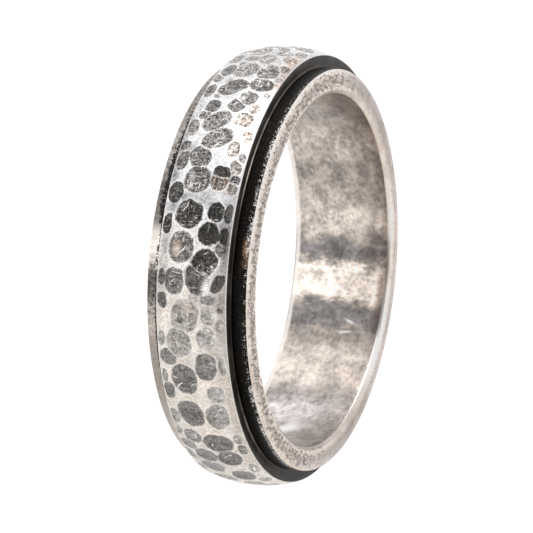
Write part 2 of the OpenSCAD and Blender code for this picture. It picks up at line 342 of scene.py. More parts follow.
def dent_relief(angles, heights):
    """What the dents do at each point of the band's outside: how deep it lies below the dome, how
    far inside a dent it is (1 at its floor, 0 at its edge, less outside), how dark and how brown."""
    points = np.column_stack([CROWN_R * np.cos(angles), CROWN_R * np.sin(angles), heights])
    along = CROWN_R * angles + wander(points, 1)
    across = heights + wander(points, 2)
    curvature = 1 / HAMMER_R + 0.5 / DOME_R + 0.5 / CROWN_R
    depth, second = np.zeros(len(angles)), np.zeros(len(angles))
    inside, dark, brown = np.full(len(angles), -1.0), np.zeros(len(angles)), np.zeros(len(angles))
    for angle, height, width, length, turn, tone, tint in both_sides(DENTS):
        u, v = from_row(along, across, angle, height, turn)
        near = np.flatnonzero(np.hypot(u, v) < DENT_REACH)
        u, v = u[near] / (length / 2), v[near] / (width / 2)
        share = 1 - (np.abs(u) ** SQUARISH + np.abs(v) ** SQUARISH) ** (2 / SQUARISH)
        size = (width + length) / 4
        here = share * size ** 2 / 2 * curvature
        second[near] = np.maximum(second[near], np.minimum(here, depth[near]))
        wins = here > depth[near]
        won = near[wins]
        depth[won], dark[won], brown[won] = here[wins], tone, tint
        inside[near] = np.where(wins | (depth[near] <= 0), np.maximum(share, inside[near]), inside[near])
        inside[won] = share[wins]
    # The crest between two dents that run into each other is rubbed bright as well.
    crest = np.where(second > 0, smooth_step(depth - second, CREST_TOP, CREST_FOOT), 1)
    inside = np.where(inside > 0, inside * crest, inside)
    return depth, inside, dark, brown


def soft_tone(rows, angles, heights):
    """The sum of a chart's soft ovals at each point of the band's outside."""
    tones = np.zeros(len(angles))
    for angle, height, length, width, turn, tone in both_sides(rows):
        u, v = from_row(CROWN_R * angles, heights, angle, height, turn)
        tones += tone * smooth_step(np.hypot(u / (length / 2), v / (width / 2)), 1, 0)
    return tones


def scratch_and_glint_place(angles, heights):
    """Where each point lies on the nearest scratch, fleck or painted glint: along it, across it (both 0
    at its middle and 1 at its end or edge) and how bright it is. Points out of reach of them all are far
    off."""
    places = np.tile([FAR_OFF, FAR_OFF, 0.0], (len(angles), 1))
    nearest = np.full(len(angles), SCRATCH_AND_GLINT_REACH)
    for angle, height, length, width, turn, tone in both_sides(SCRATCHES_AND_GLINTS):
        u, v = from_row(CROWN_R * angles, heights, angle, height, turn)
        gap = np.hypot(np.maximum(np.abs(u) - length / 2, 0), np.maximum(np.abs(v) - width / 2, 0))
        near = gap < nearest
        nearest[near] = gap[near]
        places[near] = np.column_stack([u / (length / 2), v / (width / 2), np.full(len(u), tone)])[near]
    return places


def ring_mesh(name, outline):
    """A closed ring from an outline of (radius, height) points, anticlockwise with the radius to the
    right. It returns the object and each vertex's angle, radius and height, ordered angle by angle."""
    outline = np.array(outline)
    count = len(outline)
    angles = np.repeat(np.arange(TURN_STEPS) * 2 * math.pi / TURN_STEPS, count)
    radii = np.tile(outline[:, 0], TURN_STEPS)
    heights = np.tile(outline[:, 1], TURN_STEPS)
    i = np.arange(TURN_STEPS)[:, None] * count
    i_next = (i + count) % (TURN_STEPS * count)
    j = np.arange(count)[None, :]
    j_next = (j + 1) % count
    faces = np.stack([i + j, i_next + j, i_next + j_next, i + j_next], -1).reshape(-1, 4)
    mesh = bpy.data.meshes.new(name)
    mesh.from_pydata(np.zeros((len(angles), 3)).tolist(), [], faces.tolist())
    return add_object(name, mesh), angles, radii, heights


def place(obj, angles, radii, heights):
    """Moves the mesh's vertices to these angles, radii and heights."""
    points = np.column_stack([radii * np.cos(angles), radii * np.sin(angles), heights])
    obj.data.vertices.foreach_set("co", mm(points).astype(np.float32).ravel())
    obj.data.update()
    obj.data.shade_smooth()


def paint(obj, name, values):
    """Stores a number or a vector per vertex, which the materials read by that name."""
    single = values.ndim == 1
    attribute = obj.data.attributes.new(name, "FLOAT" if single else "FLOAT_VECTOR", "POINT")
    attribute.data.foreach_set("value" if single else "vector", values.astype(np.float32).ravel())


def stretch(start, end, steps):
    """Points from start up to, but not including, end."""
    return [(start[0] + (end[0] - start[0]) * k / steps, start[1] + (end[1] - start[1]) * k / steps)
            for k in range(steps)]


def make_band():
    """The hammered band: outside domed and dented, flanks flat and black, inside plain."""
    edge_z = HALF_W - CORNER
    dome = []
    for k in range(DOME_STEPS + 1):
        z = -edge_z + 2 * edge_z * k / DOME_STEPS
        dome.append((DOME_AT + math.sqrt(DOME_R ** 2 - z ** 2), z))
    face_r = BAND_EDGE_R - CORNER
    outline = stretch((BAND_IN_R, -HALF_W), (face_r, -HALF_W), FLANK_STEPS)
    outline += [(face_r, -HALF_W)]
    first = len(outline)
    outline += dome
    outline += stretch((face_r, HALF_W), (BAND_IN_R, HALF_W), FLANK_STEPS)
    outline += stretch((BAND_IN_R, HALF_W), (BAND_IN_R, -HALF_W), BORE_STEPS)
    obj, angles, radii, heights = ring_mesh("hammered_steel_band", outline)
    on_dome = np.zeros(len(outline), bool)
    on_dome[first:first + len(dome)] = True
    on_dome = np.tile(on_dome, TURN_STEPS)
    depth, inside, dark, brown = np.zeros((4, len(angles)))
    depth[on_dome], inside[on_dome], dark[on_dome], brown[on_dome] = dent_relief(
        angles[on_dome], heights[on_dome])
    stain, scratch = np.zeros(len(angles)), np.full((len(angles), 3), FAR_OFF)
    stain[on_dome] = soft_tone(STAINS_AND_PAINTED_LIGHT, angles[on_dome], heights[on_dome])
    brown[on_dome] += soft_tone(BROWNS, angles[on_dome], heights[on_dome])
    scratch[on_dome] = scratch_and_glint_place(angles[on_dome], heights[on_dome])
    lean = np.arcsin(np.clip(heights / DOME_R, -1, 1))
    radii = radii - depth * np.cos(lean)
    heights = heights - depth * np.sin(lean)
    place(obj, angles, radii, heights + MIDDLE)
    paint(obj, "dent", inside)
    paint(obj, "dark", dark)
    paint(obj, "brown", brown)
    paint(obj, "stain", stain)
    paint(obj, "scratch", scratch)
    # The dome and the worn bevels beside it take the first material, and the rest the second.
    slots = np.ones(len(outline), np.int32)
    slots[first - 1:first + len(dome)] = 0
    obj.data.polygons.foreach_set("material_index", np.tile(slots, TURN_STEPS))
    obj.data.set_sharp_from_angle(angle=math.radians(BAND_CREASE))
    return obj


def lip(end_z, inward):
    """The rounded lip at one end of the hole, from the rim's face down into the hole."""
    points = []
    for k in range(LIP_STEPS):
        t = math.pi / 2 * k / LIP_STEPS
        points.append((HOLE_R + LIP_W * (1 - math.sin(t)), end_z + inward * LIP_H * (1 - math.cos(t))))
    return points


def make_sleeve():
    """The sleeve: smooth hole, bright lips, flat worn rims, black channel walls."""
    inner_r, outer_r = HOLE_R + LIP_W, RIM_R - EDGE_W
    sections = [
        ("rim", lip(0, 1)[::-1]),
        ("rim", stretch((inner_r, 0), (outer_r, 0), RIM_STEPS)),
        ("rim", stretch((outer_r, 0), (RIM_R, EDGE_H), BEVEL_STEPS)),
        ("oxide", stretch((RIM_R, EDGE_H), (RIM_R, RIM_H), WALL_STEPS)),
        ("oxide", stretch((RIM_R, RIM_H), (FLOOR_R, RIM_H), GROOVE_STEPS)),
        ("oxide", stretch((FLOOR_R, RIM_H), (FLOOR_R, RING_W - RIM_H), FLOOR_STEPS)),
        ("oxide", stretch((FLOOR_R, RING_W - RIM_H), (RIM_R, RING_W - RIM_H), GROOVE_STEPS)),
        ("oxide", stretch((RIM_R, RING_W - RIM_H), (RIM_R, RING_W - EDGE_H), WALL_STEPS)),
        ("rim", stretch((RIM_R, RING_W - EDGE_H), (outer_r, RING_W), BEVEL_STEPS)),
        ("rim", stretch((outer_r, RING_W), (inner_r, RING_W), RIM_STEPS)),
        ("rim", lip(RING_W, -1)),
        ("hole", stretch((HOLE_R, RING_W - LIP_H), (HOLE_R, LIP_H), HOLE_STEPS)),
    ]
    outline = [p for _, points in sections for p in points]
    kinds = [kind for kind, points in sections for _ in points]
    obj, angles, radii, heights = ring_mesh("steel_sleeve", outline)
    place(obj, angles, radii, heights)
    order = ["rim", "hole", "oxide"]
    slots = np.array([order.index(kind) for kind in kinds], np.int32)
    obj.data.polygons.foreach_set("material_index", np.tile(slots, TURN_STEPS))
    obj.data.set_sharp_from_angle(angle=math.radians(SLEEVE_CREASE))
    return obj


# How bright the sleeve is round the ring, as rows of angle and share of the light thrown back: the
# light and dark lengths are painted reflections. The hole's wall shows its far side, from 0 to 180
# degrees, and the near side repeats it. The wall of the back rim shows its near side, and the far side
# repeats that.
HOLE_PAINTED_REFLECTIONS = [
    (0, 0.42), (15, 0.45), (24, 0.52), (30, 0.6), (36, 0.76), (43, 0.38), (52, 0.78), (61, 0.66),
    (67, 0.48), (72, 0.27), (78.3, 0.23), (80.4, 0.45), (83, 0.98), (90.3, 1.05), (92.7, 0.5),
    (95, 0.26), (99.3, 0.24), (104, 0.57), (109, 0.69), (115, 0.48), (127, 0.37), (139, 0.56),
    (148, 0.36), (155, 0.34), (168, 0.42), (180, 0.42),
]
BACK_WALL_PAINTED_REFLECTIONS = [
    (180, 0.22), (206, 0.36), (214, 0.26), (228, 0.25), (234, 0.36), (243, 0.34), (249, 0.2),
    (256, 0.2), (260, 0.22), (262, 0.5), (264, 0.9), (269, 0.97), (271.5, 0.75), (273.5, 0.25),
    (275, 0.1), (281, 0.11), (284, 0.36), (290, 0.54), (295, 0.36), (308, 0.34), (320, 0.42),
    (332, 0.52), (345, 0.5), (360, 0.22),
]
# How much the painted highlight on the band's flank, a pale line, shows, as rows of angle and share.
FLANK_PAINTED_HIGHLIGHT = [
    (180, 0), (205, 0.15), (216, 0.2), (224, 0.4), (232, 0.7), (240, 1), (247, 1), (252, 0.4),
    (258, 0.1), (304, 0.06), (312, 0.25), (320, 0.5), (328, 0.35), (336, 0.1), (360, 0),
]
# How much the edge of the front rim's wall is chipped, as rows of angle and share.
CHIPPED = [
    (180, 0), (208, 0), (216, 0.4), (230, 0.75), (244, 0.65), (252, 0.4), (262, 0.7), (267, 0.6),
    (273, 0.3), (280, 0.2), (290, 0.2), (298, 0.5), (310, 0.75), (318, 0.5), (336, 0.95), (360, 0.4),
]
# How high up the back rim's wall its black begins, as rows of angle and millimetres. The black
# beside the band is partly oxide and partly painted shade under the band's edge.
BLACK_FROM = [
    (180, 0.5), (224, 0.52), (232, 0.43), (248, 0.33), (257, 0.3), (260, 0.45), (262.5, 0.58),
    (280, 0.6), (286, 0.53), (318, 0.56), (330, 0.75), (360, 0.75),
]
# Pale strokes and painted highlights on the hole's wall; the broad first one is a painted highlight.
# The columns are those of the band's scratches and glints, but the heights run from the rim below.
HOLE_STROKES_AND_HIGHLIGHTS = [
    (22.8, 3.05, 3.2, 1.7, 46, 0.95), (31, 2.2, 1.6, 0.35, 64, 0.5), (73.5, 4.0, 1.1, 0.27, 114, 0.7),
    (69.6, 3.85, 1.3, 0.26, 85, 0.7),
]
# How far the lips darken round the ring, as rows of angle and share.
LIP_DARK = [
    (0, 0.75), (15, 0.5), (30, 0.25), (45, 0.3), (52, 0), (85, 0), (93, 0.35), (102, 0.1), (115, 0),
    (160, 0), (172, 0.35), (180, 0.5), (195, 0.65), (218, 0.1), (225, 0), (305, 0), (335, 0.6),
    (360, 0.75),
]
# How much the lips gleam round the ring, as rows of angle and share.
LIP_GLEAM = [
    (0, 0), (48, 0), (59, 1), (79, 1), (90, 0), (98, 0.1), (103, 0.8), (111, 0.8), (120, 0), (360, 0),
]
# How far the rims' faces darken round the ring, as rows of angle and share.
FACE_DARK = [
    (0, 0.05), (12, 0.05), (22, 0.15), (33, 0.28), (45, 0.26), (51, 0), (116, 0), (134, 0.22),
    (148, 0.25), (166, 0.2), (182, 0), (360, 0),
]
# How bright the rims' faces are across their width, as rows of radius and share. The brightness at
# the lip and at the bevel is partly a painted highlight on those rounded edges.
RIM_SHADES = [
    (HOLE_R, 0.95), (HOLE_R + 0.32, 0.95), (HOLE_R + 0.5, 0.76), (HOLE_R + 0.7, 0.62),
    (HOLE_R + 0.9, 0.78), (RIM_R - 0.2, 0.95), (RIM_R, 0.95),
]
# The angles of single marks: the warm patch on the front rim's wall, the smoothest length of the
# back rim's wall, and the thin dark line at the far lip.
WARM_PATCH_AT = 267
SMOOTH_AT = 267.5
LIP_LINE_AT = 86


class Nodes:
    """Builds one material's nodes. Each method adds a node and returns its output socket."""

    def __init__(self, name):
        self.material = bpy.data.materials.new(name)
        self.material.use_nodes = True
        self.tree = self.material.node_tree
        self.shader = self.tree.nodes["Principled BSDF"]

    def add(self, kind, inputs=None, output=0, **settings):
        node = self.tree.nodes.new("ShaderNode" + kind)
        for key, value in settings.items():
            setattr(node, key, value)
        for key, value in (inputs or {}).items():
            self.give(node.inputs[key], value)
        return node.outputs[output]

    def give(self, socket, value):
        if isinstance(value, bpy.types.NodeSocket):
            self.tree.links.new(value, socket)
        else:
            socket.default_value = value

    def place(self, stretch=(1, 1, 1)):
        """The point on the object in millimetres, squeezed by stretch."""
        point = self.add("TexCoord", output="Object")
        scale = tuple(1000 * s for s in stretch)
        return self.add("VectorMath", {0: point, 1: scale}, operation="MULTIPLY")

    def noise(self, vector, scale, detail=3.0, roughness=0.55, seed=0.0, output="Fac"):
        shifted = self.add("VectorMath", {0: vector, 1: (seed, seed * 2, seed * 3)}, operation="ADD")
        return self.add("TexNoise", {"Vector": shifted, "Scale": scale, "Detail": detail,
                                     "Roughness": roughness}, output=output)

    def shake(self, vector, size, scale, seed=0.0):
        """The point moved about by noise, up to about size millimetres."""
        shift = self.noise(self.place(), scale, seed=seed, output="Color")
        shift = self.add("VectorMath", {0: shift, 1: (0.5, 0.5, 0.5)}, operation="SUBTRACT")
        inputs = {0: shift, 1: (4 * size,) * 3, 2: vector}
        return self.add("VectorMath", inputs, operation="MULTIPLY_ADD")

    def read(self, name):
        return self.add("Attribute", attribute_name=name, output="Fac")

    def span(self, value, low, high, to_low=0.0, to_high=1.0, eased=True):
        """Maps low..high to to_low..to_high, held at both ends, and eased between them or straight."""
        return self.add("MapRange", {"Value": value, "From Min": low, "From Max": high,
                                     "To Min": to_low, "To Max": to_high},
                        interpolation_type="SMOOTHSTEP" if eased else "LINEAR")

    def math(self, operation, *values):
        return self.add("Math", dict(enumerate(values)), operation=operation)

    def sum(self, a, b):
        return self.math("ADD", a, b)

    def times(self, a, b):
        return self.math("MULTIPLY", a, b)

    def most(self, a, b):
        return self.math("MAXIMUM", a, b)

    def from_centre(self, value, centre):
        """How far a value lies from a centre, either way."""
        return self.math("ABSOLUTE", self.sum(value, -centre))

    def multiply(self, a, b):
        """Two colours multiplied."""
        return self.add("VectorMath", {0: a, 1: b}, operation="MULTIPLY")

    def scale(self, colour, factor):
        """A colour made darker or lighter."""
        return self.add("VectorMath", {0: colour, "Scale": factor}, operation="SCALE")

    def mix(self, share, a, b):
        """Colour a where the share is 0, and b where it is 1."""
        node = self.tree.nodes.new("ShaderNodeMix")
        node.data_type = "RGBA"
        self.give(node.inputs["Factor"], share)
        colours = [s for s in node.inputs if s.type == "RGBA"]
        self.give(colours[0], a)
        self.give(colours[1], b)
        return [s for s in node.outputs if s.type == "RGBA"][0]

    def bump(self, height, strength, distance):
        inputs = {"Height": height, "Strength": strength, "Distance": mm(distance)}
        return self.add("Bump", inputs, output="Normal")

    def axis(self, name):
        """How far the point lies along one axis, in millimetres."""
        return self.add("SeparateXYZ", {0: self.place()}, output=name)

    def radius(self):
        x, y = self.axis("X"), self.axis("Y")
        return self.math("SQRT", self.sum(self.times(x, x), self.times(y, y)))

    def turn(self, start, span=360):
        """The angle about the ring's axis in degrees, from start to start plus span, and over again."""
        degrees = self.times(self.math("ARCTAN2", self.axis("Y"), self.axis("X")), 180 / math.pi)
        return self.math("WRAP", degrees, start + span, start)

    def scratches_and_glints(self, ragged):
        """How much of a charted scratch, fleck or painted glint lies here, with its edges made ragged by
        a noise.
        """
        place = self.add("Attribute", attribute_name="scratch", output="Vector")
        along, across, tone = (self.add("SeparateXYZ", {0: place}, output=axis) for axis in "XYZ")
        across = self.sum(across, self.span(ragged, 0.35, 0.65, -0.6, 0.6))
        away = self.math("SQRT", self.sum(self.times(along, along), self.times(across, across)))
        return self.times(self.span(away, 1.0, 0.5), tone)

    def spot(self, point, angle, height, length, width, turn, tone):
        """A soft oval on the hole's wall, at a point of angle in degrees and height."""
        local = self.add("Mapping", {"Vector": point, "Rotation": (0, 0, math.radians(turn)),
                                     "Location": (math.radians(angle) * HOLE_R, height, 0),
                                     "Scale": (length / 2, width / 2, 1)}, vector_type="TEXTURE")
        away = self.add("VectorMath", {0: local}, operation="LENGTH", output="Value")
        return self.span(away, 1.0, 0.1, 0, tone)

    def curve(self, value, rows):
        """Reads a value off rows of (at, level), with straight lines between them."""
        low, high = rows[0][0], rows[-1][0]
        ramp = self.add("ValToRGB", {"Fac": self.span(value, low, high, eased=False)}, output="Color")
        stops = ramp.node.color_ramp.elements
        while len(stops) < len(rows):
            stops.new(0.5)
        for stop, (at, level) in zip(stops, rows):
            stop.position = (at - low) / (high - low)
            stop.color = (level, level, level, 1)
        return ramp

    def finish(self, **sockets):
        """Sets the shader's sockets, by plain names, and returns the material."""
        names = {"colour": "Base Color", "metal": "Metallic", "rough": "Roughness", "normal": "Normal",
                 "specular": "Specular IOR Level", "glow_colour": "Emission Color",
                 "glow": "Emission Strength"}
        for key, value in sockets.items():
            self.give(self.shader.inputs[names[key]], value)
        return self.material


def grey(value, warm=0.0):
    """An opaque grey, warmer or cooler by a small share."""
    return (value * (1 + warm), value, value * (1 - warm), 1)


def ridge_colour(n, dent, side, cloud, patches, grain, fine):
    """The ridges: whiter and cooler on the -X half, creamier on the other, a painted reflection of the
    light; peppered with fine dark specks; brightest beside a dent, partly rubbed, partly painted
    highlight."""
    # The whiter and creamier halves are a painted reflection of the light.
    ridge = n.mix(side, (0.87, 0.865, 0.885, 1), (0.84, 0.765, 0.69, 1))
    ridge = n.scale(ridge, n.span(n.sum(cloud, n.times(patches, 0.5)), 0.66, 0.86, 1.02, 0.82))
    ridge = n.scale(ridge, n.span(grain, 0.38, 0.62, 1.14, 0.8))
    ridge = n.mix(n.span(fine, 0.5, 0.64, 0, 0.48), ridge, grey(0.25, 0.1))
    # The brightness beside the dents is partly rubbed and partly a painted highlight.
    halo = n.times(n.span(dent, -0.3, -0.02), n.span(side, 0.4, 1, 0.85, 0.25))
    return n.mix(n.times(halo, n.span(grain, 0.4, 0.55, 0.4, 1)), ridge, grey(0.97, 0.01))


def dent_colour(n, dark, side, patches, grain, fine, along, round_band):
    """The dents: from pale to charcoal by the chart, mottled, scratched and flecked."""
    floor = n.mix(dark, grey(0.6, 0.05), grey(0.03, 0.07))
    floor = n.scale(floor, n.span(patches, 0.38, 0.62, 1.3, 0.75))
    rugged = n.span(side, 0.1, 1, 1.4, 0.65)
    floor = n.scale(floor, n.sum(1.0, n.times(rugged, n.span(grain, 0.38, 0.62, 0.6, -0.5))))
    floor = n.mix(n.times(rugged, n.span(fine, 0.5, 0.4, 0, 0.55)), floor, grey(0.035, 0.05))
    floor = n.mix(n.times(rugged, n.span(along, 0.45, 0.37, 0, 0.6)), floor, grey(0.035, 0.05))
    scratched = n.times(n.span(n.most(along, round_band), 0.56, 0.64), n.span(patches, 0.42, 0.58))
    busy = n.span(dark, 0.85, 1, 0.65, 0.25)
    floor = n.mix(n.times(scratched, n.times(rugged, busy)), floor, grey(0.75, 0.03))
    return n.mix(n.times(n.span(fine, 0.6, 0.68), busy), floor, grey(0.75, 0.03))


def hammered_steel():
    """Bright worn ridges and dents filled with dark oxide, scratched and flecked, with painted light and
    shade.
    """
    n = Nodes("hammered_steel")
    dent, dark, brown = n.read("dent"), n.read("dark"), n.read("brown")
    point = n.place()
    cloud = n.noise(point, 0.7)
    patches = n.noise(point, 2.2, seed=13)
    grain = n.noise(point, 6, detail=5, roughness=0.7, seed=3)
    fine = n.noise(point, 13, roughness=0.7, seed=5)
    along = n.noise(n.place((1, 1, 0.2)), 11, detail=4, roughness=0.65, seed=7)
    round_band = n.noise(n.place((0.2, 0.2, 1)), 11, detail=4, roughness=0.65, seed=11)
    # Stains and rubbed places, with the painted shade and painted highlights among them.
    stain = n.times(n.read("stain"), n.span(grain, 0.38, 0.6, 0.65, 1.1))
    scratch = n.scratches_and_glints(grain)
    # Which half of the ring a point lies on; the ridges' painted reflection tint follows it.
    side = n.span(n.axis("X"), -5, 4)
    ridge = ridge_colour(n, dent, side, cloud, patches, grain, fine)
    floor = dent_colour(n, dark, side, patches, grain, fine, along, round_band)

    # The dents have ragged edges, and the band's own two edges are rubbed bright.
    ragged = n.span(n.sum(n.times(grain, 0.6), n.times(fine, 0.4)), 0.38, 0.62, 0.12, -0.12)
    share = n.span(n.sum(dent, ragged), -0.04, 0.22)
    colour = n.mix(share, ridge, floor)
    edge = n.span(n.from_centre(n.axis("Z"), MIDDLE), HALF_W - 0.09, HALF_W - 0.04)
    colour = n.mix(n.times(edge, n.span(grain, 0.35, 0.6, 0.95, 0.5)), colour, grey(0.95, 0.02))

    # The stains and painted shade darken where the chart is above 0, and the rubbed places and painted
    # highlights lighten where it is below, as the scratches and painted glints do.
    colour = n.mix(stain, colour, grey(0.05, 0.05))
    light = n.most(n.times(stain, n.span(along, 0.4, 0.6, -0.6, -1.3)), scratch)
    colour = n.mix(light, colour, grey(0.95, 0.02))
    tint = n.times(brown, n.span(patches, 0.38, 0.58, 0.5, 1.1))
    colour = n.multiply(colour, n.mix(tint, (1, 1, 1, 1), (1, 0.84, 0.73, 1)))
    rough = n.span(share, 0, 1, 0.33, 0.38)
    relief = n.bump(n.sum(n.times(grain, 0.7), n.times(light, 0.5)), 0.5, 0.02)
    return n.finish(colour=colour, metal=1.0, rough=rough, normal=relief)


def flank_colour(n, radius, turn, cloud):
    """The band's flank: a dark brown-grey, with a painted highlight as a paler line near the running
    gap.
    """
    flank = n.mix(n.span(cloud, 0.4, 0.6), grey(0.015, 0.12), grey(0.035, 0.14))
    # The pale line is a painted highlight.
    rise = n.span(radius, RIM_R + 0.03, RIM_R + 0.07)
    fall = n.span(radius, RIM_R + 0.24, RIM_R + 0.12)
    line = n.times(n.times(rise, fall), n.span(cloud, 0.35, 0.55, 0.5, 1))
    line = n.times(line, n.curve(turn, FLANK_PAINTED_HIGHLIGHT))
    return n.mix(line, flank, (0.95, 0.83, 0.71, 1))


def front_wall_colour(n, point, height, turn, specks, fine):
    """The front rim's wall: black, with one warm patch where the oxide is thin, and bright chips
    along its edge."""
    front = n.mix(n.span(specks, 0.5, 0.65, 0, 0.5), grey(0.012, 0.1), grey(0.05, 0.15))
    warm = n.span(n.from_centre(turn, WARM_PATCH_AT), 5.5, 1.5)
    warm = n.times(warm, n.span(height, RING_W - 0.6, RING_W - 0.3))
    front = n.mix(n.times(warm, n.span(specks, 0.42, 0.58, 0.05, 0.85)), front, (0.4, 0.25, 0.16, 1))
    to_edge = n.span(height, RING_W - 0.45, RING_W - 0.2)
    uneven = n.span(n.noise(point, 0.6, seed=21), 0.47, 0.57, -0.2, 0.2)
    chipped = n.sum(n.curve(turn, CHIPPED), uneven)
    chips = n.sum(n.times(specks, 0.35), n.times(fine, 0.65))
    chips = n.sum(chips, n.sum(n.times(to_edge, 0.05), n.times(chipped, 0.12)))
    chips = n.span(chips, 0.65, 0.68)
    return n.mix(n.times(chips, to_edge), front, grey(0.85, 0.03))


def back_wall_colour(n, height, turn, specks, fine):
    """The back rim's wall: steel grey with brighter and darker lengths painted as reflections, and black
    beside the band, partly oxide and partly painted shade.
    """
    steel = n.mix(n.span(turn, 280, 292), (1.0, 0.92, 0.85, 1), (1.03, 0.91, 0.81, 1))
    # Painted reflections: the brighter and darker lengths of the wall.
    back = n.scale(steel, n.curve(n.sum(turn, n.span(specks, 0.35, 0.65, -1.2, 1.2)), BACK_WALL_PAINTED_REFLECTIONS))
    mottled = n.span(n.from_centre(turn, SMOOTH_AT), 3, 8, 0.35, 1)
    patchy = n.times(n.span(turn, 272, 275), n.span(turn, 292, 286))
    mottled = n.sum(n.times(mottled, n.span(turn, 282, 290, 1, 0.35)), patchy)
    back = n.scale(back, n.sum(1.0, n.times(mottled, n.span(specks, 0.38, 0.62, 0.4, -0.45))))
    back = n.mix(n.times(patchy, n.span(fine, 0.52, 0.6, 0, 0.6)), back, grey(0.4, 0.05))
    # The black beside the band is partly oxide and partly painted shade.
    from_black = n.sum(height, n.times(n.curve(turn, BLACK_FROM), -1))
    ragged = n.times(n.span(specks, 0.35, 0.65, -0.12, 0.12), n.span(turn, 280, 288, 1, 0.25))
    black = n.span(n.sum(from_black, ragged), -0.04, 0.04)
    return n.mix(black, back, n.mix(n.span(fine, 0.58, 0.66), grey(0.02, 0.05), grey(0.5, 0.03)))


def black_oxide():
    """The near-black finish in the grooves, with a painted highlight on the band's flank, and the rims'
    own walls: the front one black with bright chips along its edge, the back one worn to bare steel,
    with painted reflections and painted shade beside the band."""
    n = Nodes("black_oxide")
    point = n.place()
    height, radius = n.axis("Z"), n.radius()
    cloud = n.noise(n.place((1, 1, 3)), 0.8, detail=4)
    specks = n.noise(point, 6, detail=5, roughness=0.75, seed=2)
    fine = n.noise(point, 14, roughness=0.7, seed=12)
    turn = n.turn(180, 180)
    flank = flank_colour(n, radius, turn, cloud)
    front = front_wall_colour(n, point, height, turn, specks, fine)
    back = back_wall_colour(n, height, turn, specks, fine)
    wall = n.mix(n.span(height, MIDDLE - 1, MIDDLE + 1), back, front)
    colour = n.mix(n.span(radius, RIM_R + 0.01, RIM_R + 0.03), wall, flank)
    relief = n.bump(n.sum(cloud, specks), 0.4, 0.03)
    metal = n.span(radius, RIM_R + 0.01, RIM_R + 0.03, 1, 0)
    return n.finish(colour=colour, metal=metal, rough=0.4, specular=0.2, normal=relief)


def rim_tone(n, radius, turn, far, cloud, pits):
    """The rims' tone: warm silver, with painted shade as a cooler, darker outer part on the far side,
    darker in some lengths by one chart, and with painted gleams by another.
    """
    wavy = n.times(n.span(pits, 0.38, 0.62, -0.08, 0.08), n.span(far, 0.4, 1, 1, 0.3))
    colour = n.scale((1.07, 0.95, 0.86), n.curve(n.sum(radius, wavy), RIM_SHADES))
    # Painted shade: the far side's outer part is cooler and darker.
    far_shade = n.times(far, n.span(radius, RIM_R - 0.6, RIM_R - 0.2))
    colour = n.multiply(colour, n.mix(far_shade, (1, 1, 1, 1), (0.8, 0.84, 0.9, 1)))
    colour = n.scale(colour, n.span(cloud, 0.38, 0.62, 1.1, 0.88))
    # Darker in some lengths round the ring, by the chart.
    darker_lengths = n.times(n.curve(turn, FACE_DARK), n.span(radius, HOLE_R + 0.1, HOLE_R + 0.3))
    colour = n.scale(colour, n.sum(1, n.times(darker_lengths, -1)))
    gleam = n.times(n.curve(turn, LIP_GLEAM), n.span(radius, HOLE_R + 0.8, HOLE_R + 0.35))
    return n.mix(gleam, colour, (1.0, 0.98, 0.955, 1))


def rim_lines(n, colour, radius, turn, far, pits):
    """A painted highlight as a bright thin outline on the near side, dark lengths of the lips, and a
    thin dark line.
    """
    # The outline is a painted highlight on the bevel, shown on the near side only.
    outline = n.span(radius, RIM_R - 0.1, RIM_R - 0.04)
    shown = n.times(n.span(far, 0.5, 0), n.span(n.axis("X"), 1, -2))
    shown = n.times(shown, n.span(pits, 0.4, 0.55, 1, 0.8))
    colour = n.mix(n.times(outline, shown), colour, grey(0.97, 0.01))
    lip_face = n.span(radius, HOLE_R + 0.3, HOLE_R + 0.12)
    colour = n.mix(n.times(n.curve(turn, LIP_DARK), lip_face), colour, grey(0.2, 0.08))
    line = n.span(radius, HOLE_R + 0.14, HOLE_R + 0.05)
    line = n.times(line, n.span(n.from_centre(turn, LIP_LINE_AT), 20, 12))
    return n.mix(n.times(line, 0.65), colour, grey(0.15, 0.1))


def rim_pits(n, colour, radius, far, pits, fine):
    """Dark pits and light flecks, thickest along the middle of the rims' faces, on the near side."""
    belt = n.times(n.span(radius, HOLE_R + 0.15, HOLE_R + 0.5), n.span(radius, RIM_R, RIM_R - 0.4))
    density = n.sum(pits, n.sum(n.times(belt, 0.1), n.times(far, -0.05)))
    rugged = n.span(radius, RIM_R - 0.06, RIM_R - 0.18, 0.25, 1)
    rugged = n.times(n.span(far, 0.4, 1, 1, 0.3), rugged)
    pitted = n.times(n.span(density, 0.55, 0.65, 0, 0.8), rugged)
    colour = n.mix(pitted, colour, (0.13, 0.1, 0.08, 1))
    colour = n.mix(n.times(n.span(fine, 0.54, 0.64, 0, 0.5), rugged), colour, grey(0.1, 0.1))
    light = n.times(n.span(fine, 0.46, 0.37, 0, 0.55), n.span(belt, 0, 1, 0.3, 1))
    return n.mix(n.times(light, rugged), colour, grey(0.95, 0.05))


def worn_rim():
    """The rims' flat faces with their lips and edges: warm silver, peppered with dark pits, with a
    painted highlight as a bright thin outline, and a cream lip round the hole with painted gleams."""
    n = Nodes("worn_rim")
    point = n.place()
    radius, turn = n.radius(), n.turn(0)
    far = n.span(n.axis("Y"), -3, 4)
    cloud = n.noise(point, 0.8)
    pits = n.noise(n.place((1, 0.45, 1)), 5, detail=5, roughness=0.72, seed=4)
    fine = n.noise(n.place((1, 0.6, 1)), 11, roughness=0.7, seed=8)
    colour = rim_tone(n, radius, turn, far, cloud, pits)
    colour = rim_lines(n, colour, radius, turn, far, pits)
    colour = rim_pits(n, colour, radius, far, pits, fine)
    # The lip at the end that the ring rests on has a thin grey line round it.
    below = n.times(n.span(n.axis("Z"), 0.5, 0.3), n.span(radius, HOLE_R + 0.05, HOLE_R + 0.12))
    below = n.times(below, n.span(radius, HOLE_R + 0.4, HOLE_R + 0.25))
    colour = n.mix(n.times(below, 0.8), colour, grey(0.35, 0.03))
    relief = n.bump(n.sum(pits, n.times(fine, 0.3)), 0.6, 0.03)
    return n.finish(colour=colour, metal=1.0, rough=0.36, normal=relief)


